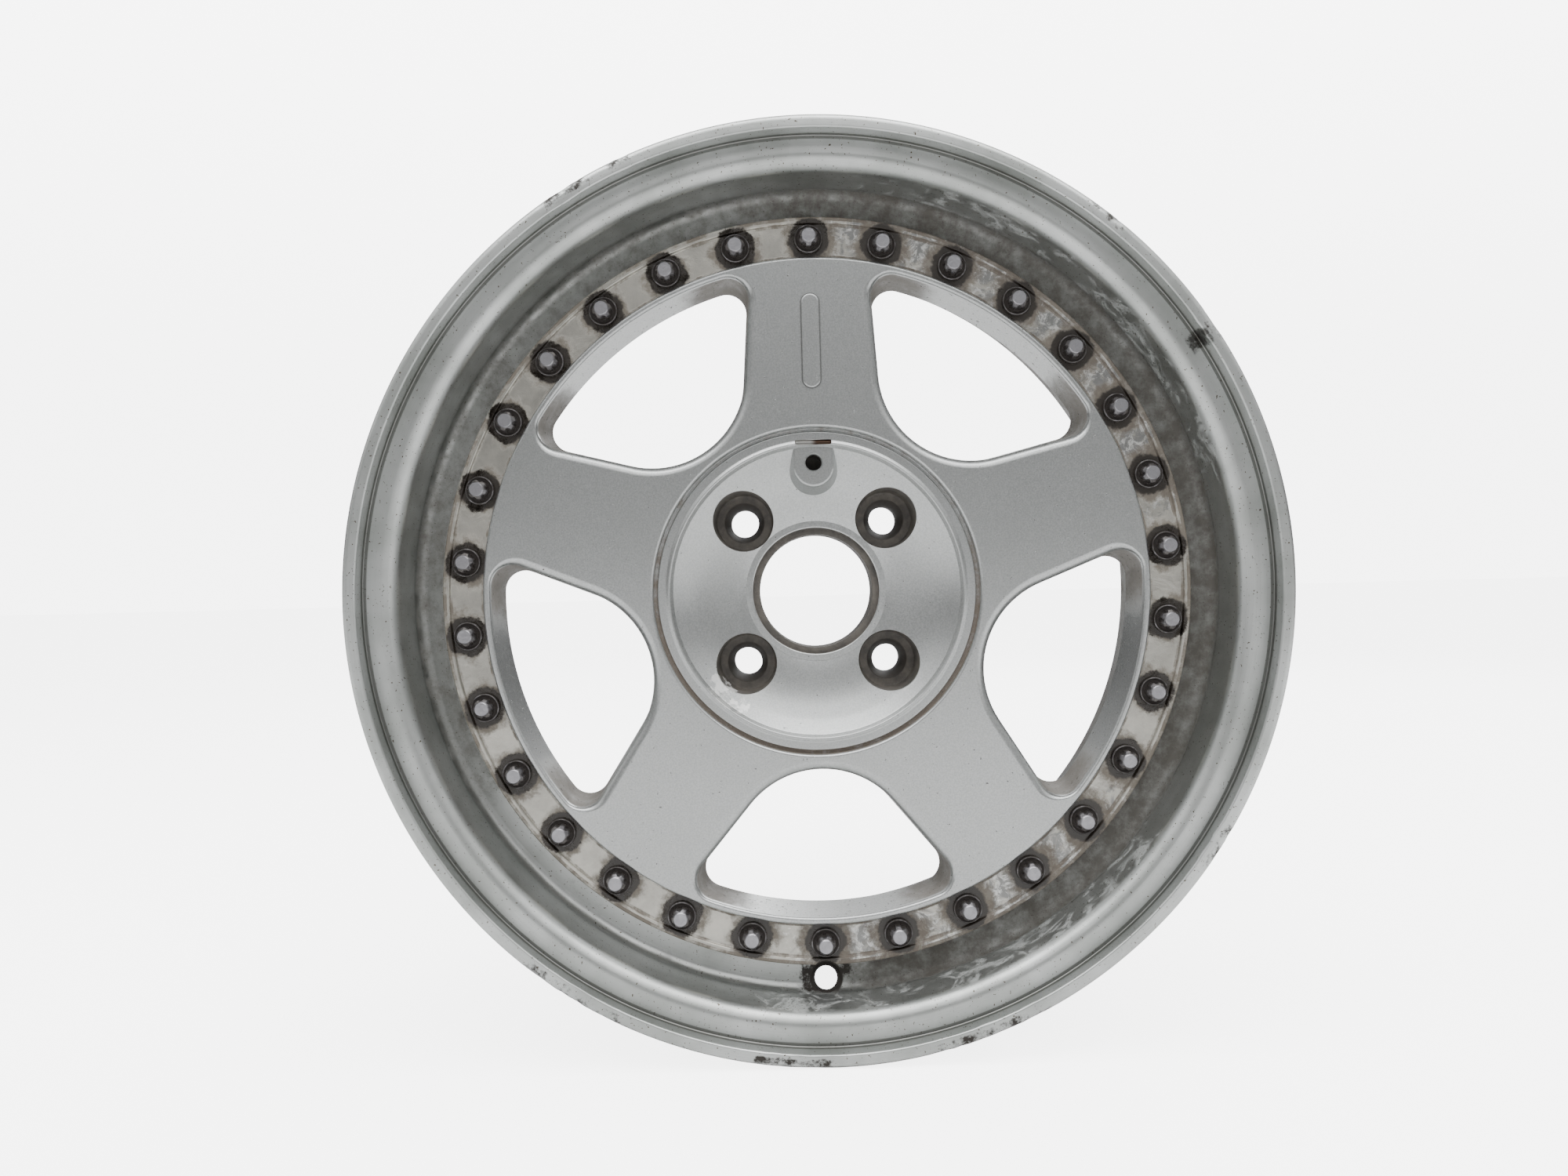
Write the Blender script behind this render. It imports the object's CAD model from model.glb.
import math

import bpy
from mathutils import Matrix, Vector, noise


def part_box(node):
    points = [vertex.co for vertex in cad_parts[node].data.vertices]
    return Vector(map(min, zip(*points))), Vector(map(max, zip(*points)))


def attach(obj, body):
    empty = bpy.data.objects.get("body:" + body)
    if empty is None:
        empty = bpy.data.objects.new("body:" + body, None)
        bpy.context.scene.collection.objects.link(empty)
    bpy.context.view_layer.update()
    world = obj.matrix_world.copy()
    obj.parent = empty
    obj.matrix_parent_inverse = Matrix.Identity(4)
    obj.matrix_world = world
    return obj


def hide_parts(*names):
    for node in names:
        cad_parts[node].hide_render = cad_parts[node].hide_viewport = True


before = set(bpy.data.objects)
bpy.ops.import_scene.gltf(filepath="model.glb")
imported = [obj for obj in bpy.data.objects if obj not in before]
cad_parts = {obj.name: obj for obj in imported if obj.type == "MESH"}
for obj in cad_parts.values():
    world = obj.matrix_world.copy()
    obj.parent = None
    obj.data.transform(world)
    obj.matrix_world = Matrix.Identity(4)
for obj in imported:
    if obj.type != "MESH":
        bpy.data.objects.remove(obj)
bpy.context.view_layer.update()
bpy.ops.object.select_all(action="DESELECT")

# ---- Studio ------------------------------------------------------------------------------------
# The wheel stands upright on a plain pale floor, under a large soft light overhead and smaller
# ones at the front, the sides and behind. The camera is close, almost on the axis, a little rolled.

MM = 0.001
rim_low, rim_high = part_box("outer_rim_half")
front_y = rim_low.y
edge_r = rim_high.z / MM

camera_data = bpy.data.cameras.new("camera")
camera_data.sensor_width = 36
camera_data.lens = 26.3
camera = bpy.data.objects.new("camera", camera_data)
bpy.context.scene.collection.objects.link(camera)
camera.location = (-0.0161, front_y - 0.526, 0.0018)
camera_roll = math.radians(1.43)
camera.rotation_euler = (math.radians(90), camera_roll, 0)
bpy.context.scene.camera = camera

floor_width = 60
pale_grey = (0.88, 0.88, 0.88, 1)
plain_white = (1, 1, 1, 1)
bpy.ops.mesh.primitive_plane_add(size=floor_width, location=(0, 0, -edge_r * MM))
floor = bpy.context.object
floor.name = "floor"
bpy.ops.object.transform_apply(location=True, rotation=True, scale=True)
floor_paint = bpy.data.materials.new("floor_paint")
floor_paint.use_nodes = True
floor_shader = floor_paint.node_tree.nodes["Principled BSDF"]
floor_shader.inputs["Base Color"].default_value = pale_grey
floor_shader.inputs["Roughness"].default_value = 0.8
# The floor looks as pale as the backdrop, yet lights the wheel only as much as a plain one does
floor_paleness = 4.5
floor_seen = floor_paint.node_tree.nodes.new("ShaderNodeLightPath")
floor_glow = floor_paint.node_tree.nodes.new("ShaderNodeMath")
floor_glow.operation = "MULTIPLY"
floor_glow.inputs[1].default_value = floor_paleness
floor_paint.node_tree.links.new(floor_seen.outputs["Is Camera Ray"], floor_glow.inputs[0])
floor_paint.node_tree.links.new(floor_glow.outputs[0], floor_shader.inputs["Emission Strength"])
floor_shader.inputs["Emission Color"].default_value = plain_white
floor.data.materials.append(floor_paint)


def soft_light(name, place, aim, width, height, watts):
    """A rectangular light at a place, turned to face the aim; sizes in metres."""
    data = bpy.data.lights.new(name, "AREA")
    data.shape = "RECTANGLE"
    data.size = width
    data.size_y = height
    data.energy = watts
    light = bpy.data.objects.new(name, data)
    bpy.context.scene.collection.objects.link(light)
    light.location = place
    light.rotation_euler = (Vector(aim) - Vector(place)).to_track_quat("-Z", "Y").to_euler()


soft_light("overhead", (0, -0.75, 1.9), (0, 0, -0.1), 2.6, 1.3, 54)
soft_light("left", (-2.0, -0.3, 0.3), (0, 0, 0), 0.35, 1.6, 2)
soft_light("right", (2.0, -1.5, -0.05), (0, 0, 0), 0.9, 0.5, 1.5)
soft_light("front", (0.3, -2.1, 1.55), (0, 0, 0.05), 2.2, 0.35, 7)
soft_light("rear", (0.9, 1.9, 1.3), (0, 0.1, 0), 1.4, 1.0, 22)

world = bpy.data.worlds.new("studio")
bpy.context.scene.world = world
world.use_nodes = True
world_nodes = world.node_tree.nodes
world_links = world.node_tree.links
direction = world_nodes.new("ShaderNodeTexCoord")
parts = world_nodes.new("ShaderNodeSeparateXYZ")
world_links.new(direction.outputs["Generated"], parts.inputs[0])
# The room is dim at the sides and brighter above; only its backdrop is plain white
backdrop_paleness = 6
above = world_nodes.new("ShaderNodeMapRange")
above.interpolation_type = "SMOOTHSTEP"
world_links.new(parts.outputs["Z"], above.inputs["Value"])
for label, value in (("From Min", 0.12), ("From Max", 0.55), ("To Min", 0.05), ("To Max", 1.4)):
    above.inputs[label].default_value = value
seen = world_nodes.new("ShaderNodeLightPath")
backdrop = world_nodes.new("ShaderNodeMath")
backdrop.operation = "MULTIPLY_ADD"
world_links.new(seen.outputs["Is Camera Ray"], backdrop.inputs[0])
backdrop.inputs[1].default_value = backdrop_paleness
world_links.new(above.outputs["Result"], backdrop.inputs[2])
world_links.new(backdrop.outputs[0], world_nodes["Background"].inputs["Strength"])
world_nodes["Background"].inputs["Color"].default_value = plain_white

# ---- Outer rim half ----------------------------------------------------------------------------
# The deep lip, turned from a forged aluminium ring, polished and lacquered. Its flat flange is
# clamped to the centre disc by the bolts. Its edge carries kerb rash, its bend and wall corrosion.


def rounded(corners, steps=6):
    """Points of a closed section. Each corner is (radius from the axis, depth, corner radius), in mm."""
    points = []
    for n, (r, depth, bend) in enumerate(corners):
        here = Vector((r, depth))
        before = (Vector(corners[n - 1][:2]) - here).normalized()
        after = (Vector(corners[(n + 1) % len(corners)][:2]) - here).normalized()
        if bend == 0:
            points.append(here)
            continue
        half = before.angle(after) / 2
        reach = bend / math.tan(half)
        centre = here + (before + after).normalized() * bend / math.sin(half)
        start = here + before * reach - centre
        sweep = start.angle_signed(here + after * reach - centre)
        for step in range(steps + 1):
            turn = -sweep * step / steps
            points.append(centre + Vector((
                start.x * math.cos(turn) - start.y * math.sin(turn),
                start.x * math.sin(turn) + start.y * math.cos(turn))))
    return points


def at_depth(depth):
    return front_y + depth * MM


def select_only(piece):
    bpy.ops.object.select_all(action="DESELECT")
    piece.select_set(True)
    bpy.context.view_layer.objects.active = piece


def wrapped(name, columns, rows, place, caps=False):
    """A grid whose points are put in place and whose touching edges are merged into one skin."""
    bpy.ops.object.select_all(action="DESELECT")
    bpy.ops.mesh.primitive_grid_add(x_subdivisions=columns, y_subdivisions=rows, size=1)
    piece = bpy.context.object
    piece.name = name
    for index, vertex in enumerate(piece.data.vertices):
        vertex.co = place(index % (columns + 1), index // (columns + 1))
    bpy.ops.object.mode_set(mode="EDIT")
    bpy.ops.mesh.select_all(action="SELECT")
    bpy.ops.mesh.remove_doubles(threshold=2e-6)
    if caps:
        bpy.ops.mesh.fill_holes(sides=0)
        bpy.ops.mesh.select_all(action="SELECT")
    bpy.ops.mesh.normals_make_consistent(inside=False)
    bpy.ops.object.mode_set(mode="OBJECT")
    return piece


def turned(name, section, steps):
    """A closed section of (radius, depth) points is turned about the wheel's axis."""
    def place(column, row):
        r, depth = section[row % len(section)]
        turn = math.tau * (column % steps) / steps
        return r * MM * math.sin(turn), at_depth(depth), r * MM * math.cos(turn)
    return wrapped(name, steps, len(section), place)


def apply_step(piece, kind, **settings):
    select_only(piece)
    step = piece.modifiers.new("step", kind)
    for key, value in settings.items():
        setattr(step, key, value)
    bpy.ops.object.modifier_apply(modifier=step.name)


def shape_with(piece, tool, operation="DIFFERENCE"):
    """The tool is cut out of the piece, or joined to it, and thrown away."""
    apply_step(piece, "BOOLEAN", operation=operation, solver="EXACT", object=tool)
    bpy.data.objects.remove(tool, do_unlink=True)
    bpy.ops.object.mode_set(mode="EDIT")
    bpy.ops.mesh.select_all(action="SELECT")
    bpy.ops.mesh.remove_doubles(threshold=0.03 * MM)
    bpy.ops.object.mode_set(mode="OBJECT")


def pin(name, foot, direction, width, length, steps=64):
    """A plain round tool that starts at foot, in mm on the wheel, and runs along direction."""
    bpy.ops.mesh.primitive_cylinder_add(vertices=steps, radius=width * MM / 2, depth=length * MM)
    tool = bpy.context.object
    tool.name = name
    tool.data.transform(Matrix.Translation((0, 0, length * MM / 2)))
    tool.data.transform(Vector(direction).to_track_quat("Z", "Y").to_matrix().to_4x4())
    tool.data.transform(Matrix.Translation((foot[0] * MM, at_depth(foot[1]), foot[2] * MM)))
    return tool


def smooth(piece, degrees=30):
    select_only(piece)
    bpy.ops.object.shade_smooth_by_angle(angle=math.radians(degrees))
    apply_step(piece, "WEIGHTED_NORMAL", keep_sharp=True, weight=50)


def finished(piece, slot, material, *nodes):
    piece.data.materials.clear()
    piece.data.materials.append(material)
    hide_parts(*nodes)
    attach(piece, "root")


barrel_r = 201.56
bore_wall_r = 198.16
flange_w = 14
half_w = -front_y / MM
lip_depth = 43.5
rim_flange_t = 5
flange_in_r = 165.05
disc_r = 185.3
bolt_n = 30
bolt_circle_r = 172.5
valve_r = 192.15
valve_hole_w = 11.3
valve_face_w = 14.6
valve_room_w = 15.6
valve_tilt = math.radians(20)
valve_way = Vector((0, -math.cos(valve_tilt), math.sin(valve_tilt)))

curl_in_r = edge_r - 6.8
curl_depth = 9.5
curl = [
    (curl_in_r, 0, 1.0),
    (edge_r, 0, 3.2),
    (edge_r, flange_w, 9.4),
    (202.9, flange_w, 5),
    (201.4, 35, 2.5),
    (202.4, 38, 2),
    (barrel_r, 42.5, 2)]
lip_section = rounded(curl + [
    (barrel_r, lip_depth + rim_flange_t, 1),
    (flange_in_r, lip_depth + rim_flange_t, 0.4),
    (flange_in_r, lip_depth, 0.4),
    (bore_wall_r, lip_depth, 5),
    (bore_wall_r, curl_depth, 7),
    (curl_in_r, curl_depth, 0.6)], 8)
lip = turned("outer_rim", lip_section, 360)

# Kerb rash: each stretch is (degrees from the top, half its length in degrees, depth in mm)
rash = [(-31, 4, 0.7), (-24, 2, 0.4), (39, 3, 0.5), (57, 2.5, 0.6), (124, 3, 0.7), (160, 9, 0.5),
        (184, 6, 0.6), (213, 7, 0.4)]
for vertex in lip.data.vertices:
    depth = (vertex.co.y - front_y) / MM
    r = math.hypot(vertex.co.x, vertex.co.z) / MM
    if depth > 7 or r < edge_r - 7:
        continue
    turn = math.degrees(math.atan2(vertex.co.x, vertex.co.z))
    for centre, half, bite in rash:
        away = abs((turn - centre + 180) % 360 - 180) / half
        if away < 1:
            rough = noise.noise(vertex.co * 260) + 0.6 * noise.noise(vertex.co * 700)
            bitten = bite * MM * max(0, rough + 0.25) * (1 - away ** 2)
            vertex.co.x -= bitten * vertex.co.x / (r * MM)
            vertex.co.z -= bitten * vertex.co.z / (r * MM)
            vertex.co.y += bitten * 0.6

valve_foot = Vector((0, lip_depth, -valve_r))
shape_with(lip, pin("valve_drill", valve_foot - valve_way * 15, valve_way, valve_hole_w, 34))
shape_with(lip, pin("valve_face", valve_foot - valve_way * 0.6, valve_way, valve_face_w, 12))
smooth(lip)


def add(tree, kind, **settings):
    node = tree.nodes.new(kind)
    for key, value in settings.items():
        setattr(node, key, value)
    return node


def plug(tree, value, socket):
    """Wires an output to a socket, or sets a plain value on it."""
    if isinstance(value, bpy.types.NodeSocket):
        tree.links.new(value, socket)
    else:
        socket.default_value = value


def worked_out(tree, operation, *values):
    """One arithmetic node on sockets or plain numbers."""
    node = add(tree, "ShaderNodeMath", operation=operation)
    for n, value in enumerate(values):
        plug(tree, value, node.inputs[n])
    return node.outputs[0]


def plus(tree, one, other):
    return worked_out(tree, "ADD", one, other)


def less(tree, one, other):
    return worked_out(tree, "SUBTRACT", one, other)


def times(tree, one, other):
    return worked_out(tree, "MULTIPLY", one, other)


def times_plus(tree, one, other, added):
    return worked_out(tree, "MULTIPLY_ADD", one, other, added)


def larger(tree, one, other):
    return worked_out(tree, "MAXIMUM", one, other)


def fade(tree, value, start, end, low=0.0, high=1.0):
    """Goes smoothly from low to high as the value goes from start to end."""
    node = add(tree, "ShaderNodeMapRange", interpolation_type="SMOOTHSTEP")
    plug(tree, value, node.inputs["Value"])
    for name, number in zip(("From Min", "From Max", "To Min", "To Max"), (start, end, low, high)):
        plug(tree, number, node.inputs[name])
    return node.outputs["Result"]


def band(tree, value, low, high, soft):
    """One between low and high, falling to nought over the soft width on both sides."""
    rise = fade(tree, value, low - soft, low)
    fall = fade(tree, value, high, high + soft, 1.0, 0.0)
    return times(tree, rise, fall)


def layer(tree, mask, under, over):
    """Lays one colour over another where the mask is one."""
    node = add(tree, "ShaderNodeMix", data_type="RGBA")
    plug(tree, mask, node.inputs[0])
    plug(tree, under, node.inputs[6])
    plug(tree, over, node.inputs[7])
    return node.outputs[2]


def group(name, inputs, outputs):
    """A new node group. Inputs are (name, value); both ends' nodes are given back with its tree."""
    tree = bpy.data.node_groups.new(name, "ShaderNodeTree")
    for label, value in inputs:
        socket = tree.interface.new_socket(label, in_out="INPUT", socket_type="NodeSocketFloat")
        socket.default_value = value
    for label in outputs:
        tree.interface.new_socket(label, in_out="OUTPUT", socket_type="NodeSocketFloat")
    return tree, tree.nodes.new("NodeGroupInput"), tree.nodes.new("NodeGroupOutput")


def use(tree, name, **values):
    """Places a node group; its inputs are given by name, with _ for a space."""
    node = add(tree, "ShaderNodeGroup", node_tree=bpy.data.node_groups[name])
    for label, value in values.items():
        plug(tree, value, node.inputs[label.replace("_", " ").capitalize()])
    return node.outputs


def speckle(tree, scale, detail=3.0, rough=0.5, shift=0.0, warp=0.0):
    """Noise about a half, on the piece's own coordinates."""
    coords = add(tree, "ShaderNodeTexCoord").outputs["Object"]
    place = add(tree, "ShaderNodeMapping")
    tree.links.new(coords, place.inputs["Vector"])
    place.inputs["Location"].default_value = (shift, shift * 0.7, -shift)
    node = add(tree, "ShaderNodeTexNoise")
    tree.links.new(place.outputs[0], node.inputs["Vector"])
    settings = (("Scale", scale), ("Detail", detail), ("Roughness", rough), ("Distortion", warp))
    for label, value in settings:
        node.inputs[label].default_value = value
    return node.outputs["Fac"]


# Where a point is on the wheel: radius and depth in mm, and angle clockwise from the top
tree, given, made = group("wheel_place", [], ["Radius", "Depth", "Angle"])
coords = add(tree, "ShaderNodeTexCoord")
axes = add(tree, "ShaderNodeSeparateXYZ")
tree.links.new(coords.outputs["Object"], axes.inputs[0])
side, depth_m, up = axes.outputs
squares = plus(tree, times(tree, side, side), times(tree, up, up))
plug(tree, times(tree, worked_out(tree, "SQRT", squares), 1 / MM), made.inputs["Radius"])
plug(tree, times(tree, less(tree, depth_m, front_y), 1 / MM), made.inputs["Depth"])
plug(tree, worked_out(tree, "ARCTAN2", side, up), made.inputs["Angle"])

# Distance in mm from the nearest of several like places spaced evenly on a circle about the axis,
# the first one at a phase in turns from the top
tree, given, made = group("from_nearest", [("Count", bolt_n), ("Phase", 0), ("Circle", bolt_circle_r)],
                          ["Distance", "Across", "Out"])
place = use(tree, "wheel_place")
turns = less(tree, worked_out(tree, "DIVIDE", place["Angle"], math.tau), given.outputs["Phase"])
steps = plus(tree, times(tree, turns, given.outputs["Count"]), 0.5)
part = worked_out(tree, "DIVIDE", less(tree, worked_out(tree, "FRACT", steps), 0.5),
                  given.outputs["Count"])
part = times(tree, part, math.tau)
across = times(tree, place["Radius"], worked_out(tree, "SINE", part))
out = less(tree, times(tree, place["Radius"], worked_out(tree, "COSINE", part)),
           given.outputs["Circle"])
squares = plus(tree, times(tree, across, across), times(tree, out, out))
plug(tree, worked_out(tree, "SQRT", squares), made.inputs["Distance"])
plug(tree, across, made.inputs["Across"])
plug(tree, out, made.inputs["Out"])

# A stretch of the wheel round one angle, both in degrees clockwise from the top, with soft ends
tree, given, made = group("stretch", [("Centre", 0), ("Half", 10), ("Soft", 10)], ["Mask"])
place = use(tree, "wheel_place")
away = less(tree, place["Angle"], worked_out(tree, "RADIANS", given.outputs["Centre"]))
inner = worked_out(tree, "COSINE", worked_out(tree, "RADIANS", given.outputs["Half"]))
outer = worked_out(tree, "COSINE", worked_out(tree, "RADIANS",
                                              plus(tree, given.outputs["Half"], given.outputs["Soft"])))
plug(tree, fade(tree, worked_out(tree, "COSINE", away), outer, inner), made.inputs["Mask"])

# Fine lines left by a lathe tool, round the axis
tree, given, made = group("turned_lines", [("Fineness", 4)], ["Value"])
place = use(tree, "wheel_place")
lines = add(tree, "ShaderNodeCombineXYZ")
plug(tree, times(tree, place["Radius"], given.outputs["Fineness"]), lines.inputs["X"])
plug(tree, times(tree, place["Depth"], given.outputs["Fineness"]), lines.inputs["Y"])
plug(tree, times(tree, place["Angle"], 1.5), lines.inputs["Z"])
texture = add(tree, "ShaderNodeTexNoise")
tree.links.new(lines.outputs[0], texture.inputs["Vector"])
texture.inputs["Scale"].default_value = 1
texture.inputs["Detail"].default_value = 3
plug(tree, texture.outputs["Fac"], made.inputs["Value"])

# Dirt breaks up towards the edge of its mask, where noise decides what stays
tree, given, made = group("broken_up", [("Mask", 0), ("Noise", 0.5), ("Raggedness", 0.6),
                                        ("Soft", 0.15)], ["Mask"])
level = less(tree, given.outputs["Noise"], 0.5)
level = times_plus(tree, level, given.outputs["Raggedness"], given.outputs["Mask"])
start = less(tree, 0.5, given.outputs["Soft"])
end = plus(tree, 0.5, given.outputs["Soft"])
plug(tree, fade(tree, level, start, end), made.inputs["Mask"])


def around(tree, centre, half, soft):
    """The mask of the stretch group, in degrees."""
    return use(tree, "stretch", centre=centre, half=half, soft=soft)["Mask"]


def ragged(tree, mask, noise, raggedness, soft):
    """The mask after the broken_up group."""
    return use(tree, "broken_up", mask=mask, noise=noise, raggedness=raggedness, soft=soft)["Mask"]


def new_material(name):
    material = bpy.data.materials.new(name)
    material.use_nodes = True
    tree = material.node_tree
    return material, tree, tree.nodes["Principled BSDF"]


def bumped(tree, shader, height, distance):
    """The height, from nought to one, is worth a distance in mm."""
    node = add(tree, "ShaderNodeBump")
    node.inputs["Distance"].default_value = distance * MM
    node.inputs["Strength"].default_value = 1
    plug(tree, height, node.inputs["Height"])
    tree.links.new(node.outputs[0], shader.inputs["Normal"])


polished_metal = (0.50, 0.515, 0.505, 1)
lip_dull = (0.36, 0.375, 0.36, 1)
grime_black = (0.022, 0.018, 0.014, 1)
grime_brown = (0.088, 0.07, 0.05, 1)
corrosion_white = (0.42, 0.44, 0.43, 1)
lathe_shade = (0.3, 0.3, 0.3, 1)
foot_grey = (0.15, 0.15, 0.14, 1)
foot_grime = (0.055, 0.048, 0.038, 1)
corner_shade = (0.11, 0.11, 0.10, 1)

lip_metal, tree, shader = new_material("polished_lip")
place = use(tree, "wheel_place")
lines = use(tree, "turned_lines", fineness=6.0)["Value"]
cloud = speckle(tree, 22, 4, 0.6)
fine = speckle(tree, 420, 3, 0.6, 3)
colour = layer(tree, fade(tree, cloud, 0.35, 0.7), polished_metal, lip_dull)
colour = layer(tree, times(tree, fade(tree, lines, 0.45, 0.7), 0.25), colour, lathe_shade)
# White bloom where the lacquer has let water in: on the wall, most at the upper and lower right
wall = band(tree, place["Depth"], 16, 42, 5)
bloom = around(tree, 42, 28, 18)
bloom = larger(tree, bloom, around(tree, 158, 26, 20))
bloom = times_plus(tree, bloom, 0.42, 0.02)
bloom = times(tree, bloom, wall)
patches = ragged(tree, bloom, speckle(tree, 60, 6, 0.65, 8, 1.2), raggedness=1.3, soft=0.12)
colour = layer(tree, times(tree, patches, 0.5), colour, corrosion_white)
# The wall's foot and the flat inside it are grimy, but for the lower left, which was wiped clean
foot = band(tree, place["Depth"], 40, 60, 3)
foot = times(tree, foot, fade(tree, place["Radius"], 184.8, 186.2))
wiped = around(tree, 208, 20, 18)
foot = times(tree, foot, times_plus(tree, wiped, -0.62, 1.0))
# Pits are thickest where the bloom is
pits = ragged(tree, times_plus(tree, patches, 0.12, 0.08), speckle(tree, 900, 2, 0.5, 5),
              raggedness=2.2, soft=0.05)
colour = layer(tree, pits, colour, grime_brown)
low_right = around(tree, 120, 48, 22)
high_right = around(tree, 45, 40, 25)
worst = larger(tree, low_right, times(tree, high_right, 0.9))
foot_mask = times(tree, foot, times_plus(tree, worst, 0.22, 0.42))
dirty_foot = ragged(tree, foot_mask, speckle(tree, 110, 6, 0.7, 2), raggedness=1.2, soft=0.3)
colour = layer(tree, times(tree, foot, 0.6), colour, foot_grey)
colour = layer(tree, times(tree, dirty_foot, 0.85), colour, foot_grime)
corner = band(tree, place["Radius"], curl_in_r - 1.6, curl_in_r + 0.4, 0.5)
corner = times(tree, corner, band(tree, place["Depth"], 7.6, 11, 0.8))
colour = layer(tree, times(tree, corner, 0.75), colour, corner_shade)
# Black grime round the valve hole
valve = use(tree, "from_nearest", count=1.0, phase=0.5, circle=valve_r)["Distance"]
deep = fade(tree, place["Depth"], 34, 42)
valve_mask = times(tree, fade(tree, valve, 8, 24, 0.56, 0.0), deep)
valve_dirt = ragged(tree, valve_mask, speckle(tree, 150, 5, 0.7, 4), raggedness=1.3, soft=0.1)
valve_ring = times(tree, fade(tree, valve, 8.0, 9.0, 1.0, 0.0), deep)
valve_dirt = larger(tree, valve_dirt, valve_ring)
colour = layer(tree, valve_dirt, colour, grime_black)
# An old impact mark across the flange at the upper right
mark = times(tree, around(tree, 58, 0.2, 1.7), band(tree, place["Radius"], 208.5, 214, 3))
mark = ragged(tree, times(tree, mark, 0.66), speckle(tree, 190, 6, 0.75, 12), raggedness=1.5, soft=0.2)
colour = layer(tree, times(tree, mark, 0.85), colour, grime_black)
# The edge is scraped bright and stained dark where it met the kerb
edge = fade(tree, place["Depth"], 2, 7, 1.0, 0.0)
edge = times(tree, edge, fade(tree, place["Radius"], edge_r - 7, edge_r - 4))
scraped = 0.0
for centre, half, bite in rash:
    scraped = larger(tree, scraped, around(tree, centre, half * 0.7, half * 0.6))
scraped = times(tree, scraped, edge)
stain = ragged(tree, times(tree, scraped, 0.46), speckle(tree, 120, 5, 0.7, 6), raggedness=1.5,
               soft=0.12)
edge_specks = ragged(tree, times(tree, edge, 0.16), speckle(tree, 330, 4, 0.7, 9), raggedness=1.8,
                     soft=0.06)
colour = layer(tree, larger(tree, stain, times(tree, edge_specks, 0.8)), colour, grime_black)
plug(tree, colour, shader.inputs["Base Color"])
dirt = larger(tree, larger(tree, stain, valve_dirt), dirty_foot)
dull = larger(tree, times(tree, patches, 0.6), dirt)
plug(tree, fade(tree, dull, 0, 1, 0.9, 0.15), shader.inputs["Metallic"])
rough = times_plus(tree, cloud, 0.12, 0.29)
plug(tree, times_plus(tree, dull, 0.35, rough), shader.inputs["Roughness"])
height = times_plus(tree, lines, 0.25, times(tree, patches, 0.5))
height = times_plus(tree, fine, 0.2, height)
bumped(tree, shader, times_plus(tree, scraped, speckle(tree, 500, 4, 0.7), height), 0.12)

finished(lip, "polished_aluminium", lip_metal, "outer_rim_half")

# ---- Inner rim half ----------------------------------------------------------------------------
# The barrel with its drop well, turned from a second ring and left as machined. It faces the car,
# so it is dull and takes the brake dust. Its flange is clamped behind the outer half's.

well_r = 185.5
well_end = 112.9
slope_end = 148.24
barrel_wall = 4.5
stack_end = lip_depth + 2 * rim_flange_t
full_w = 2 * half_w
barrel_section = rounded([
    (flange_in_r, lip_depth + rim_flange_t, 0.4),
    (well_r, lip_depth + rim_flange_t, 1),
    (well_r, well_end, 12),
    (barrel_r, slope_end, 12)] + [
    (r, full_w - depth, bend) for r, depth, bend in reversed(curl[:-1])] + [
    (curl_in_r, full_w - curl_depth, 0.6),
    (bore_wall_r, full_w - curl_depth, 7),
    (bore_wall_r, slope_end + 2, 9),
    (well_r - barrel_wall, well_end + 2, 9),
    (well_r - barrel_wall, stack_end, 2.5),
    (flange_in_r, stack_end, 0.4)], 7)
barrel = turned("inner_rim", barrel_section, 300)
smooth(barrel)

machined_light = (0.40, 0.405, 0.40, 1)
machined_dark = (0.27, 0.27, 0.262, 1)
machined_lines = (0.22, 0.22, 0.215, 1)
brake_dust = (0.085, 0.068, 0.052, 1)
barrel_metal, tree, shader = new_material("machined_barrel")
place = use(tree, "wheel_place")
lines = use(tree, "turned_lines", fineness=3.0)["Value"]
cloud = speckle(tree, 14, 5, 0.6, 1)
colour = layer(tree, fade(tree, cloud, 0.3, 0.75), machined_light, machined_dark)
colour = layer(tree, times(tree, fade(tree, lines, 0.4, 0.65), 0.4), colour, machined_lines)
inside = fade(tree, place["Radius"], 181.8, 180.2)
inside = larger(tree, inside, band(tree, place["Radius"], 196, 198.8, 0.5))
dust = ragged(tree, times_plus(tree, inside, 0.34, 0.12), speckle(tree, 45, 7, 0.7, 7), raggedness=1.1,
              soft=0.3)
colour = layer(tree, times(tree, dust, 0.7), colour, brake_dust)
plug(tree, colour, shader.inputs["Base Color"])
plug(tree, fade(tree, dust, 0, 1, 0.85, 0.2), shader.inputs["Metallic"])
plug(tree, times_plus(tree, dust, 0.3, 0.42), shader.inputs["Roughness"])
bumped(tree, shader, lines, 0.05)
finished(barrel, "plain_aluminium", barrel_metal, "inner_rim_half")

# ---- Centre disc -------------------------------------------------------------------------------
# A forged disc with five broad spokes, machined and painted satin silver. Its windows have drafted
# walls and softly rounded front edges. Grime lies round the bolts, in the pockets and the groove.

face_depth = 34
back_depth = 56
floor_depth = 36.8
pad_depth = 74.25
spoke_n = 5
window_angle = math.radians(39.8)
side_offset = 40.75
window_r = 158.5
window_apex = 88.8
window_corner_r = 10
ridge_in_r = 163.6
face_in_r = 80.2
bore_r = 28.55
recess_r = 31.6
recess_depth = 53
groove_depth = 38.6
ledge_depth = 35.3
spigot_r = 164.85
lug_n = 4
lug_circle_r = 50
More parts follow.
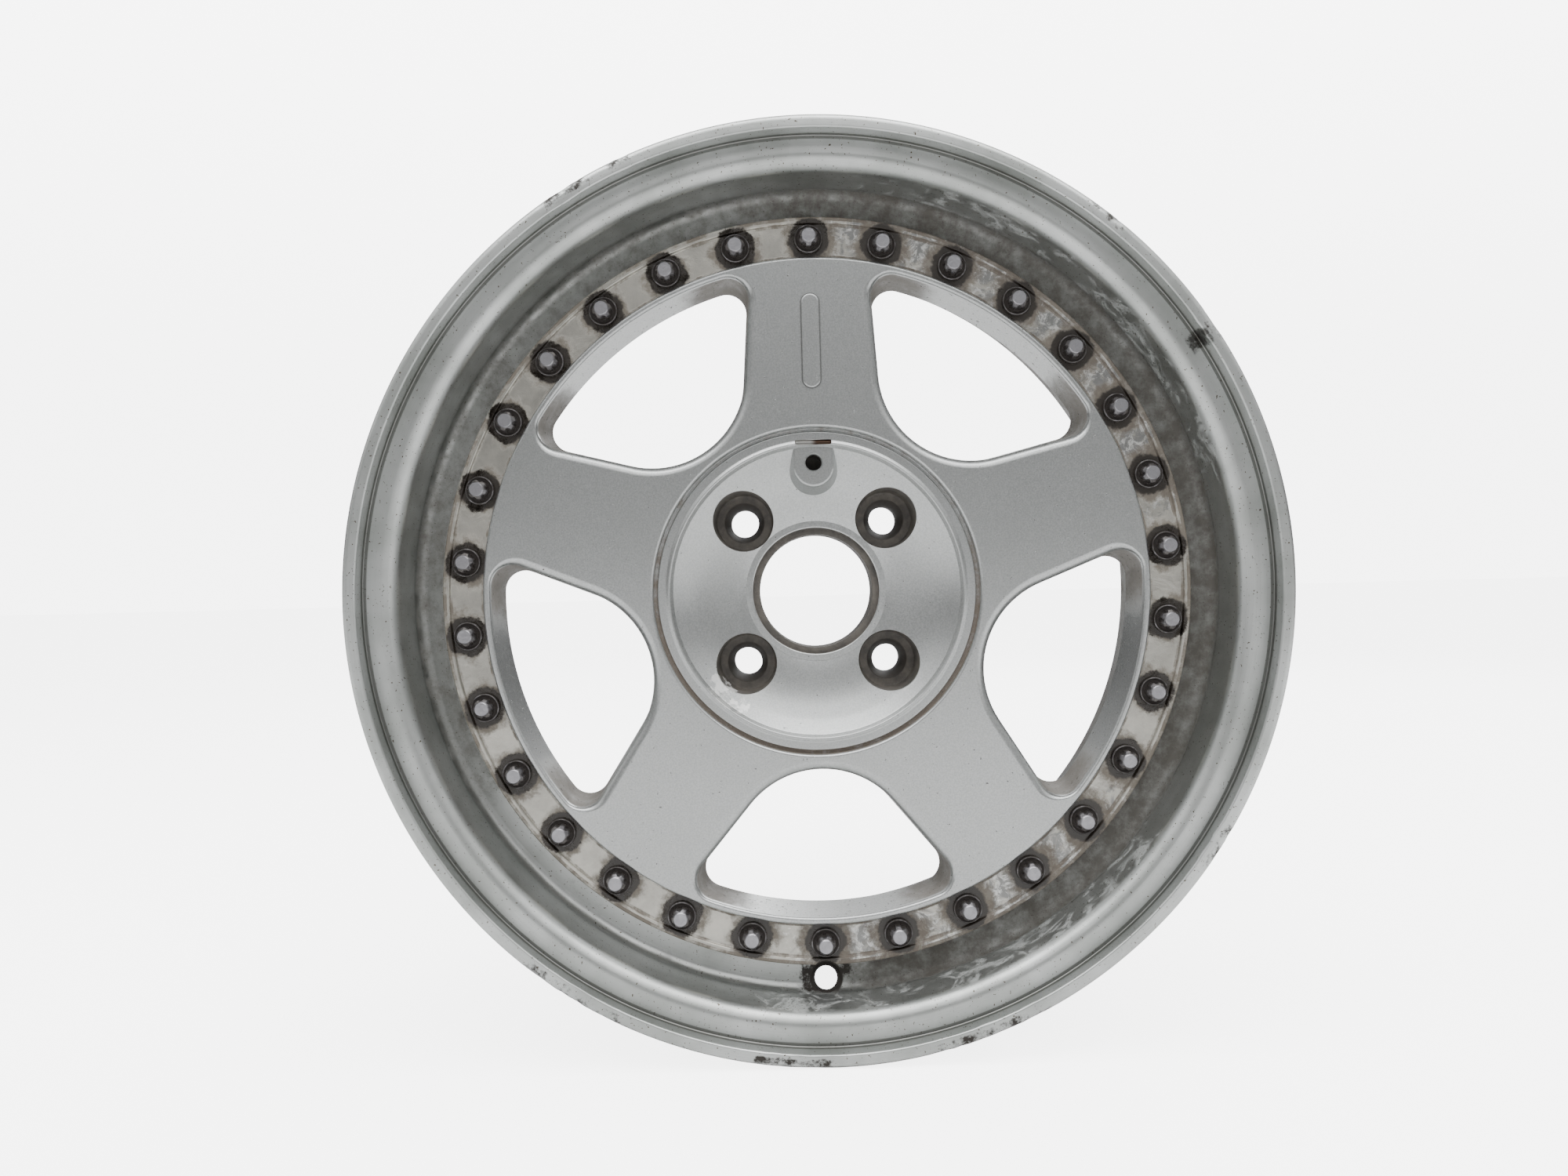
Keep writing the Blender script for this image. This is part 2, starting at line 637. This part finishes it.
# The bowl sags a little below the straight line from its low edge to its high one
bowl_low = Vector((35.2, 50.5))
bowl_high = Vector((70.7, 38.4))
bowl_sag = 2.2
bowl = []
for n in range(1, 11):
    t = n / 12
    point = bowl_low.lerp(bowl_high, t)
    bowl.append((point.x, point.y + bowl_sag * math.sin(math.pi * t ** 1.25), 0))
disc_section = rounded([
    (bore_r + 1.5, pad_depth, 0.3),
    (bore_r, pad_depth - 1.5, 0.3),
    (bore_r, recess_depth, 0.3),
    (recess_r, recess_depth, 0.3),
    (recess_r, bowl_low.y, 0.8),
    (bowl_low.x, bowl_low.y, 1.5)] + bowl + [
    (bowl_high.x, bowl_high.y - 0.3, 1.6),
    (72.6, 35.9, 0.9),
    (74.3, 36.9, 1.3),
    (78.3, 36.8, 0.7),
    (78.5, groove_depth, 0.3),
    (face_in_r, groove_depth, 0.3),
    (face_in_r, face_depth, 1.4),
    (ridge_in_r, face_depth, 1.5),
    (ridge_in_r, floor_depth, 0.5),
    (179.8, floor_depth, 0.4),
    (180.4, ledge_depth, 0.5),
    (183.3, ledge_depth, 0.8),
    (disc_r, lip_depth, 0.4),
    (spigot_r, lip_depth, 0.4),
    (spigot_r, back_depth, 1.2),
    (130.5, back_depth, 8),
    (84, 69.25, 4),
    (74, 72.25, 2),
    (72, pad_depth, 0.8)], 5)
disc = turned("centre_disc_painted", disc_section, 360)


def arc(centre, r, start, end, steps):
    """Points round a centre from one angle to another, both ends included."""
    turns = [start + (end - start) * n / steps for n in range(steps + 1)]
    return [Vector((centre[0] + r * math.cos(a), centre[1] + r * math.sin(a))) for a in turns]


def window_outline(grow, grow_out):
    """One window about the +X line, grown at its sides and apex, and at its outer arc."""
    offset = side_offset - grow
    outer_r = window_r + grow_out
    a = window_angle
    c = window_corner_r
    apex_in = window_apex - grow
    apex_r = (apex_in * math.sin(a) - offset) / (1 - math.sin(a))
    across = offset + c
    along = math.sqrt((outer_r - c) ** 2 - across ** 2)
    corner = (along * math.cos(a) + across * math.sin(a), along * math.sin(a) - across * math.cos(a))
    reach = math.atan2(corner[1], corner[0])
    quarter = math.pi / 2
    return (arc((apex_in + apex_r, 0), apex_r, 3 * quarter - a, quarter + a, 24)
            + arc(corner, c, quarter + a, reach, 12)
            + arc((0, 0), outer_r, reach, -reach, 32)[1:-1]
            + arc((corner[0], -corner[1]), c, -reach, -quarter - a, 12))


def stacked(name, outlines):
    """A closed solid through outlines of equal count, each a list of points, in metres."""
    count = len(outlines[0])

    def place(column, row):
        return outlines[row][column % count]
    return wrapped(name, count, len(outlines) - 1, place, caps=True)


def window_tool(turn):
    """One window's drafted cutter; each level is (depth, growth at the sides, growth at the arc)."""
    levels = [(face_depth - 6, 1.3, 1.7), (face_depth, 1.3, 1.7), (back_depth, -0.3, -1.2),
              (90, -0.3, -1.2)]
    outlines = []
    for depth, grow, grow_out in levels:
        outlines.append([
            Matrix.Rotation(turn, 3, "Y") @ Vector((p.y * MM, at_depth(depth), p.x * MM))
            for p in window_outline(grow, grow_out)])
    return stacked("window_tool", outlines)


for k in range(spoke_n):
    shape_with(disc, window_tool(math.tau * (k + 0.5) / spoke_n))

# The flat face is made ten clean faces, one on each side of each spoke's centre line
for k in range(2 * spoke_n):
    select_only(disc)
    bpy.ops.object.mode_set(mode="EDIT")
    bpy.ops.mesh.select_all(action="DESELECT")
    bpy.ops.object.mode_set(mode="OBJECT")
    for face in disc.data.polygons:
        flat = abs(face.center.y - at_depth(face_depth)) < 1e-6 and face.normal.y < -0.999
        turn = math.atan2(face.center.x, face.center.z) % math.tau
        face.select = flat and int(turn / math.tau * 2 * spoke_n) == k
    bpy.ops.object.mode_set(mode="EDIT")
    bpy.ops.mesh.select_mode(type="FACE")
    bpy.ops.mesh.dissolve_faces(use_verts=True)
    bpy.ops.object.mode_set(mode="OBJECT")

# The windows' front edges are rounded broadly beside the spokes and tightly at the outer arc
window_round = 4.5
weights = disc.data.attributes.new("bevel_weight_edge", "FLOAT", "EDGE")
for edge in disc.data.edges:
    ends = [disc.data.vertices[v].co for v in edge.vertices]
    middle = (ends[0] + ends[1]) / 2
    r = math.hypot(middle.x, middle.z) / MM
    level = all(abs(end.y - at_depth(face_depth)) < 1e-6 for end in ends)
    if not level or r < face_in_r + 4 or r > ridge_in_r - 2.5:
        continue
    turn = math.atan2(middle.x, middle.z) % (math.tau / spoke_n) - math.pi / spoke_n
    along = (ends[1] - ends[0]).normalized()
    radial = middle.normalized()
    on_centre_line = abs(abs(turn) - math.pi / spoke_n) < 1e-4 or abs(turn) < 1e-4
    if on_centre_line and abs(along.dot(Vector((radial.x, 0, radial.z)).normalized())) > 0.99:
        continue
    outer = min(1, max(0, (r - 147) / 11))
    weights.data[edge.index].value = 1 - 0.72 * outer
apply_step(disc, "BEVEL", width=window_round * MM, segments=6, limit_method="WEIGHT",
           use_clamp_overlap=False)


def drill(name, x, z, steps, sides=64):
    """A round tool along the wheel's axis at (x, z) in mm; steps are (radius, depth)."""
    outlines = []
    for r, depth in steps:
        outlines.append([Vector(((x + p.x) * MM, at_depth(depth), (z + p.y) * MM))
                         for p in arc((0, 0), r, 0, math.tau, sides)[:-1]])
    return stacked(name, outlines)


def block(name, low, high, corner):
    """A box between two corners, in mm as (x, depth, z), with rounded edges."""
    bpy.ops.object.select_all(action="DESELECT")
    bpy.ops.mesh.primitive_cube_add(size=1)
    box = bpy.context.object
    box.name = name
    for vertex in box.data.vertices:
        end = [low[n] if vertex.co[n] < 0 else high[n] for n in range(3)]
        vertex.co = (end[0] * MM, at_depth(end[1]), end[2] * MM)
    apply_step(box, "BEVEL", width=corner * MM, segments=4)
    return box


def rounded_end(half, root, tip, flat_tip):
    """Outline of a tongue half wide, from its round root to its tip, which is round or flat."""
    points = arc((0, root), half, math.pi, math.tau, 24)
    if flat_tip:
        return points + [Vector((half, tip)), Vector((-half, tip))]
    return points + arc((0, tip), half, 0, math.pi, 24)


def tongue(name, levels, root, tip, flat_tip):
    """A raised tool up the wheel's centre line; levels are (half its width, depth)."""
    outlines = []
    for half, depth in levels:
        outlines.append([Vector((p.x * MM, at_depth(depth), p.y * MM))
                         for p in rounded_end(half, root, tip, flat_tip)])
    return stacked(name, outlines)


# Boss for the cap's screw, and the plain raised bar on the top spoke; levels are (half width, depth)
boss_low = 61.3
boss_high = 71.7
bar_low = 103.85
bar_high = 140.85
boss_levels = [(14.4, 50.6), (10.5, 39.5), (10.2, 38.7), (9.8, 38.1), (9.3, 37.85), (8.8, 37.8)]
shape_with(disc, tongue("cap_boss", boss_levels, boss_low, boss_high, True), "UNION")
bar_levels = [(4.6, face_depth + 1), (4.5, 33.7), (4.35, 33.4), (4.0, 33.23), (3.6, 33.2)]
shape_with(disc, tongue("name_bar", bar_levels, bar_low, bar_high, False), "UNION")

# Wheel bolt pockets with conical seats, cap screw's hole and slot, pockets behind the spokes
cap_hole_z = 63.3
slot_low = 71.9
slot_high = 74.3
slot_half = 9
slot_depth = 40.1
tools = [drill("cap_hole", 0, cap_hole_z, [(5.4, 37), (4.0, 38.5), (4.0, 51.8)], 40)]
for k in range(lug_n):
    turn = math.tau * (k + 0.5) / lug_n
    x = lug_circle_r * math.sin(turn)
    z = lug_circle_r * math.cos(turn)
    steps = [(16.0, 33), (14.4, 56.4), (13.7, 57.9), (12.7, 58.25), (10, 58.25), (7.15, 63.19),
             (7.15, 80)]
    tools.append(drill("wheel_bolt_pocket", x, z, steps))
tools.append(block("cap_slot", (-slot_half, 30, slot_low), (slot_half, slot_depth, slot_high), 0.8))
for k in range(spoke_n):
    pocket = block("spoke_pocket", (-24.8, 47, 90.2), (24.8, 90, 150.5), 5)
    pocket.data.transform(Matrix.Rotation(math.tau * k / spoke_n, 4, "Y"))
    tools.append(pocket)
tools.append(pin("valve_room", valve_foot - valve_way, valve_way, valve_room_w, 14))
for tool in tools:
    shape_with(disc, tool)
smooth(disc)

paint_light = (0.46, 0.47, 0.465, 1)
paint_dark = (0.37, 0.38, 0.378, 1)
bare_cream = (0.47, 0.455, 0.41, 1)
bare_grey = (0.2, 0.2, 0.195, 1)
bare_shade = (0.34, 0.33, 0.30, 1)
bloom_white = (0.62, 0.62, 0.60, 1)
paint_cloud = (0.33, 0.34, 0.33, 1)
pocket_black = (0.024, 0.019, 0.014, 1)
pocket_brown = (0.075, 0.064, 0.05, 1)
groove_rust = (0.12, 0.085, 0.055, 1)
window_dust = (0.10, 0.085, 0.068, 1)
bare_primer = (0.75, 0.75, 0.73, 1)
line_grey = (0.10, 0.10, 0.095, 1)
slot_metal = (0.50, 0.49, 0.47, 1)
slot_rust = (0.13, 0.085, 0.06, 1)
disc_paint, tree, shader = new_material("silver_paint")
place = use(tree, "wheel_place")
grain = speckle(tree, 1300, 2, 0.55, 1)
mottle = speckle(tree, 9, 3, 0.5, 2)
colour = layer(tree, fade(tree, grain, 0.32, 0.68), paint_dark, paint_light)
colour = layer(tree, times(tree, fade(tree, mottle, 0.35, 0.7), 0.25), colour, paint_cloud)
# The channel under the bolt heads is bare: cream where clean, white and grey where it has corroded
channel = band(tree, place["Radius"], 164.1, 186, 0.4)
channel = times(tree, channel, fade(tree, place["Depth"], 45, 43))
bare = layer(tree, fade(tree, speckle(tree, 42, 6, 0.7, 11), 0.35, 0.68), bare_cream, bare_shade)
worst = around(tree, 40, 26, 24)
worst = larger(tree, worst, around(tree, 155, 18, 25))
blotch = speckle(tree, 95, 7, 0.72, 13, 0.8)
corroded = ragged(tree, times_plus(tree, worst, 0.42, 0.12), blotch, raggedness=1.3, soft=0.1)
bare = layer(tree, corroded, bare, bare_grey)
bloomed = ragged(tree, times_plus(tree, worst, 0.25, 0.2), speckle(tree, 160, 7, 0.75, 17, 1.0),
                 raggedness=1.5, soft=0.08)
bare = layer(tree, times(tree, bloomed, 0.8), bare, bloom_white)
colour = layer(tree, channel, colour, bare)
# Oily grime round each bolt's flange, a brown halo beyond it, and lines along the channel's walls
bolt_gap = use(tree, "from_nearest", count=bolt_n, phase=0.0, circle=bolt_circle_r)["Distance"]
smear = speckle(tree, 105, 6, 0.7, 19)
near = fade(tree, bolt_gap, 7.0, 13.5, 0.97, 0.0)
seams = larger(tree, band(tree, place["Radius"], 163.9, 164.6, 0.9),
               band(tree, place["Radius"], 179.2, 180.1, 0.9))
halo_mask = larger(tree, fade(tree, bolt_gap, 8, 20, 0.64, 0.0), times(tree, seams, 0.5))
ledge = band(tree, place["Radius"], 181.7, 190, 0.6)
halo_mask = larger(tree, halo_mask, times(tree, ledge, 0.6))
halo_mask = times_plus(tree, worst, 0.18, halo_mask)
halo = ragged(tree, halo_mask, smear, raggedness=1.6, soft=0.22)
halo = times(tree, halo, channel)
colour = layer(tree, times(tree, halo, 0.85), colour, grime_brown)
black = ragged(tree, near, speckle(tree, 115, 6, 0.7, 23), raggedness=1.7, soft=0.16)
black = times(tree, black, channel)
colour = layer(tree, black, colour, grime_black)
# Brake dust packed in the wheel bolt pockets, the bore's mouth and the groove round the hub
bowl_fall = -0.341
fall = times_plus(tree, less(tree, place["Radius"], bowl_low.x), bowl_fall, bowl_low.y + 1.6)
sunk = fade(tree, less(tree, place["Depth"], fall), 0.6, 1.6)
sunk = times(tree, sunk, fade(tree, place["Radius"], 70, 68))
sunk = times(tree, sunk, fade(tree, place["Depth"], 73, 72))
bore = band(tree, place["Radius"], 20, 31.75, 0.3)
bore = times(tree, bore, fade(tree, place["Depth"], 50.6, 51))
bore = times(tree, bore, fade(tree, place["Depth"], 72, 70))
packed = larger(tree, sunk, bore)
packed_colour = layer(tree, fade(tree, speckle(tree, 120, 5, 0.65, 29), 0.3, 0.72), pocket_black,
                      pocket_brown)
colour = layer(tree, times(tree, packed, 0.94), colour, packed_colour)
hole = use(tree, "from_nearest", count=lug_n, phase=0.5 / lug_n, circle=lug_circle_r)["Distance"]
seat = times(tree, fade(tree, hole, 10.6, 9.8), fade(tree, place["Depth"], 57.5, 58.2))
colour = layer(tree, times(tree, seat, times(tree, packed, 0.85)), colour, grime_black)
groove = band(tree, place["Radius"], 78.3, 80.4, 0.25)
groove = times(tree, groove, band(tree, place["Depth"], 35.6, 41, 0.5))
groove_low = around(tree, 180, 60, 70)
groove_mask = times(tree, groove, times_plus(tree, groove_low, 0.4, 0.36))
groove_dirt = ragged(tree, groove_mask, speckle(tree, 140, 6, 0.7, 31), raggedness=1.2, soft=0.25)
colour = layer(tree, times(tree, groove_dirt, 0.8), colour, groove_rust)
# Dust in the windows' outer corners and black specks on their walls
corner_circle_r = 139.7
corner_across = 50.3
window = use(tree, "from_nearest", count=spoke_n, phase=0.5 / spoke_n, circle=corner_circle_r)
beside = less(tree, worked_out(tree, "ABSOLUTE", window["Across"]), corner_across)
corner_r = worked_out(tree, "SQRT", plus(tree, times(tree, beside, beside),
                                         times(tree, window["Out"], window["Out"])))
walls = band(tree, place["Depth"], 37.5, 55, 2.5)
in_ring = band(tree, place["Radius"], 84, 161.8, 1)
walls = times(tree, walls, in_ring)
dusty = times(tree, fade(tree, corner_r, 9, 30, 0.78, 0.0), walls)
dust = ragged(tree, dusty, speckle(tree, 80, 6, 0.7, 37), raggedness=0.9, soft=0.4)
colour = layer(tree, times(tree, dust, 0.85), colour, window_dust)
speck_mask = times_plus(tree, walls, 0.1, 0.05)
specks = ragged(tree, speck_mask, speckle(tree, 620, 2, 0.6, 41), raggedness=1.95, soft=0.05)
specks = times(tree, specks, less(tree, 1.0, channel))
colour = layer(tree, times(tree, specks, 0.8), colour, grime_black)
# Paint rubbed through on the bowl's shoulder at the lower left
rub = times(tree, around(tree, 222, 7, 9), band(tree, place["Radius"], 65, 72, 2.5))
rubbed = ragged(tree, times(tree, rub, 0.5), speckle(tree, 170, 6, 0.7, 43), raggedness=1.6, soft=0.08)
colour = layer(tree, times(tree, rubbed, 0.7), colour, bare_primer)
# A line of dirt round the foot of the raised bar, and rust and bare metal in the cap's slot
axes = add(tree, "ShaderNodeSeparateXYZ")
tree.links.new(add(tree, "ShaderNodeTexCoord").outputs["Object"], axes.inputs[0])
across = times(tree, axes.outputs[0], 1 / MM)
up = times(tree, axes.outputs[2], 1 / MM)
bar_middle = (bar_low + bar_high) / 2
past = less(tree, worked_out(tree, "ABSOLUTE", less(tree, up, bar_middle)), bar_high - bar_middle)
past = larger(tree, past, 0.0)
bar_gap = worked_out(tree, "SQRT", times_plus(tree, past, past, times(tree, across, across)))
bar_line = times(tree, band(tree, bar_gap, 4.45, 4.75, 0.45), fade(tree, place["Depth"], 35, 34.5))
colour = layer(tree, times(tree, bar_line, 0.55), colour, line_grey)
in_slot = times(tree, band(tree, up, slot_low - 0.2, slot_high + 0.2, 0.1),
                band(tree, across, -slot_half - 0.2, slot_half + 0.2, 0.1))
in_slot = times(tree, in_slot, fade(tree, place["Depth"], 37.2, 38.2))
slot_colour = layer(tree, fade(tree, across, -2, 2), slot_metal, slot_rust)
colour = layer(tree, in_slot, colour, slot_colour)
plug(tree, colour, shader.inputs["Base Color"])
dirt = larger(tree, larger(tree, packed, halo), larger(tree, dust, groove_dirt))
dirt = larger(tree, dirt, specks)
shine = times_plus(tree, times(tree, corroded, channel), -0.3, 0.88)
plug(tree, times(tree, shine, less(tree, 1.0, dirt)), shader.inputs["Metallic"])
gloss = times_plus(tree, grain, 0.08, 0.27)
gloss = times_plus(tree, dirt, 0.35, gloss)
plug(tree, times_plus(tree, black, -0.35, gloss), shader.inputs["Roughness"])
ground = times(tree, grain, 0.10)
ground = times_plus(tree, times(tree, blotch, channel), 0.9, ground)
bumped(tree, shader, times_plus(tree, dirt, 0.3, ground), 0.2)
finished(disc, "silver_paint", disc_paint, "centre_disc")

# ---- Assembly bolts ----------------------------------------------------------------------------
# Thirty steel bolts clamp the three pieces. Each has a dished flange and a six-lobed head whose top
# is turned down to a round flat. The heads' tops are wiped; oil and dust fill the dishes.

lobe_r = 4.69
flute_r = 1.454
flute_at = 5.3
top_r = 3.3
head_top = 8.9


def lobed(turn, height):
    """Radius of the head at a turn about its axis and a height above the channel's floor, in mm."""
    beside = (turn + math.pi / 6) % (math.pi / 3) - math.pi / 6
    r = lobe_r
    if flute_at * abs(math.sin(beside)) < flute_r:
        in_flute = math.sqrt(flute_r ** 2 - (flute_at * math.sin(beside)) ** 2)
        r = min(r, flute_at * math.cos(beside) - in_flute)
    return min(r, top_r + (head_top - height) * 0.55)


shank_end = floor_depth - (stack_end + 7.5 + 2)
plain_rings = [(0, shank_end), (2.6, shank_end), (3.5, shank_end + 1)]
for n in range(5):
    plain_rings += [(3.5, shank_end + 1.1 + n * 0.5), (3.1, shank_end + 1.35 + n * 0.5)]
plain_rings += [(3.5, shank_end + 3.7), (3.5, 0), (6.7, 0), (7, 0.3), (7, 1.5), (6.85, 1.85),
                (6.5, 2), (6.2, 1.92), (5.9, 1.6), (5.2, 1.35)]
head_heights = [1.3, 1.9, 4.2, 5.4, 6.1, 6.5, 7.0, 7.5, 8.0, 8.5]
head_rings = len(head_heights)


def bolt_point(column, row):
    turn = math.tau * (column % 72) / 72
    if row < len(plain_rings):
        r, height = plain_rings[row]
    elif row < len(plain_rings) + head_rings:
        height = head_heights[row - len(plain_rings)]
        r = lobed(turn, height)
    else:
        top_rings = [(top_r, 8.72), (top_r - 0.18, head_top), (0, head_top)]
        r, height = top_rings[row - len(plain_rings) - head_rings]
    return r * MM * math.cos(turn), -height * MM, r * MM * math.sin(turn)


steel_light = (0.33, 0.32, 0.33, 1)
steel_dark = (0.18, 0.17, 0.18, 1)
steel_top = (0.33, 0.33, 0.35, 1)
bolt_steel, tree, shader = new_material("bolt_steel")
place = use(tree, "wheel_place")
scuff = speckle(tree, 260, 5, 0.7, 3)
colour = layer(tree, fade(tree, scuff, 0.3, 0.7), steel_light, steel_dark)
# The tops stay clean; the sides and dishes darken towards the channel's floor
high = fade(tree, place["Depth"], floor_depth - 8.3, floor_depth - 8.8)
gap = use(tree, "from_nearest", count=bolt_n, phase=0.0, circle=bolt_circle_r)["Distance"]
rim = times(tree, band(tree, gap, 6.35, 6.95, 0.2), fade(tree, place["Depth"], 35.3, 35.0))
low = fade(tree, place["Depth"], floor_depth - 7.4, floor_depth - 3.2)
low = times(tree, low, fade(tree, place["Depth"], 45, 40))
oil = ragged(tree, times_plus(tree, rim, -0.2, times(tree, low, 0.82)), speckle(tree, 240, 5, 0.7, 5),
             raggedness=0.9, soft=0.2)
colour = layer(tree, times(tree, oil, 0.93), colour, grime_black)
colour = layer(tree, times(tree, high, 0.6), colour, steel_top)
plug(tree, colour, shader.inputs["Base Color"])
plug(tree, fade(tree, oil, 0, 1, 0.95, 0.25), shader.inputs["Metallic"])
plug(tree, times_plus(tree, scuff, 0.25, 0.22), shader.inputs["Roughness"])
bumped(tree, shader, speckle(tree, 700, 4, 0.6, 7), 0.12)

pattern_bolt = wrapped("pattern_bolt", 72, len(plain_rings) + head_rings + 2, bolt_point)
smooth(pattern_bolt, 35)
for k in range(bolt_n):
    bolt = pattern_bolt.copy()
    bolt.data = pattern_bolt.data.copy()
    bolt.name = f"flange_bolt_{k + 1:02d}"
    bpy.context.scene.collection.objects.link(bolt)
    # Each bolt came to rest at its own angle when it was tightened
    own_turn = k * 2.4
    bolt.data.transform(Matrix.Rotation(own_turn, 4, "Y"))
    bolt.data.transform(Matrix.Translation((0, at_depth(floor_depth), bolt_circle_r * MM)))
    bolt.data.transform(Matrix.Rotation(math.tau * k / bolt_n, 4, "Y"))
    finished(bolt, "bolt_steel", bolt_steel, f"assembly_bolt_{k + 1:02d}")
bpy.data.objects.remove(pattern_bolt, do_unlink=True)

# ---- Collar nuts -------------------------------------------------------------------------------
# A zinc-plated hexagon nut with a collar stands on each bolt, on the inner half's flange, which
# the tyre's side never sees. Brake dust has dulled the plating.

nut_flat = 5.5
nut_h = 7.5
collar_r = 6.75
nut_bore = 3.55


def hexagon(turn, height):
    beside = (turn + math.pi / 6) % (math.pi / 3) - math.pi / 6
    return min(nut_flat / math.cos(beside), nut_flat + 0.2 + (nut_h - height) * 1.6)


def nut_point(column, row):
    turn = math.tau * (column % 48) / 48
    rings = [(nut_bore, 0.4), (nut_bore + 0.3, 0), (collar_r - 0.3, 0), (collar_r, 0.3), (collar_r, 1.2),
             (collar_r - 0.25, 1.5), (None, 1.6), (None, 6.6), (None, 7.0), (None, 7.3), (None, nut_h),
             (nut_bore + 0.4, nut_h), (nut_bore, nut_h - 0.4)]
    r, height = rings[row % len(rings)]
    if r is None:
        r = hexagon(turn, height)
    return r * MM * math.cos(turn), height * MM, r * MM * math.sin(turn)


pattern_nut = wrapped("pattern_nut", 48, 13, nut_point)
nuts = []
for k in range(bolt_n):
    nut = pattern_nut.copy()
    nut.data = pattern_nut.data.copy()
    bpy.context.scene.collection.objects.link(nut)
    nut.data.transform(Matrix.Rotation(k * 1.7, 4, "Y"))
    nut.data.transform(Matrix.Translation((0, at_depth(stack_end), bolt_circle_r * MM)))
    nut.data.transform(Matrix.Rotation(math.tau * k / bolt_n, 4, "Y"))
    nuts.append(nut)
bpy.data.objects.remove(pattern_nut, do_unlink=True)
select_only(nuts[0])
for nut in nuts:
    nut.select_set(True)
bpy.ops.object.join()
nuts = bpy.context.object
nuts.name = "nut_ring"
smooth(nuts, 25)

zinc_light = (0.50, 0.49, 0.46, 1)
zinc_dark = (0.30, 0.285, 0.25, 1)
nut_dust = (0.09, 0.07, 0.05, 1)
zinc, tree, shader = new_material("zinc_plate")
stain = speckle(tree, 120, 6, 0.7, 2)
colour = layer(tree, fade(tree, stain, 0.35, 0.7), zinc_light, zinc_dark)
dusty = ragged(tree, 0.34, speckle(tree, 210, 6, 0.72, 4), raggedness=1.2, soft=0.25)
colour = layer(tree, times(tree, dusty, 0.75), colour, nut_dust)
plug(tree, colour, shader.inputs["Base Color"])
plug(tree, fade(tree, dusty, 0, 1, 0.9, 0.3), shader.inputs["Metallic"])
plug(tree, times_plus(tree, dusty, 0.3, 0.36), shader.inputs["Roughness"])
bumped(tree, shader, speckle(tree, 800, 4, 0.6, 6), 0.08)
finished(nuts, "plated_steel", zinc, "collar_nuts")

# ---- Sealant -----------------------------------------------------------------------------------
# A bead of black silicone, gunned round the joint of the two rim halves on the tyre's side and
# smoothed with a finger, so its width wanders. It stops short of the valve hole on both sides.

joint_r = 185.45
joint_depth = 48.45
bead_section = [(joint_r, joint_depth), (187.7, joint_depth), (188.15, 48.75), (187.6, 49.5),
                (186.9, 50.2), (186.3, 50.9), (185.9, 51.3), (joint_r, 51.45)]
valve_gap = math.radians(3.3)
bead_start = math.pi + valve_gap
bead_sweep = math.tau - 2 * valve_gap
bead_steps = 300


def bead_point(column, row):
    r, depth = bead_section[row % len(bead_section)]
    turn = bead_start + bead_sweep * column / bead_steps
    way = Vector((math.sin(turn), 0, math.cos(turn)))
    wander = 1 + 0.16 * noise.noise(way * 9) + 0.08 * noise.noise(way * 40)
    ends = min(1, 0.35 + column / 6, 0.35 + (bead_steps - column) / 6)
    r = joint_r + (r - joint_r) * wander * ends
    depth = joint_depth + (depth - joint_depth) * wander * ends
    return way.x * r * MM, at_depth(depth), way.z * r * MM


bead = wrapped("silicone_bead", bead_steps, len(bead_section), bead_point, caps=True)
smooth(bead, 50)
silicone_black = (0.02, 0.02, 0.021, 1)
silicone_dusty = (0.06, 0.057, 0.052, 1)
silicone, tree, shader = new_material("black_silicone")
dusty = speckle(tree, 60, 5, 0.6, 3)
colour = layer(tree, fade(tree, dusty, 0.4, 0.75), silicone_black, silicone_dusty)
plug(tree, colour, shader.inputs["Base Color"])
plug(tree, fade(tree, dusty, 0.4, 0.75, 0.38, 0.6), shader.inputs["Roughness"])
bumped(tree, shader, speckle(tree, 300, 4, 0.6, 5), 0.15)
finished(bead, "sealant", silicone, "sealant_bead")
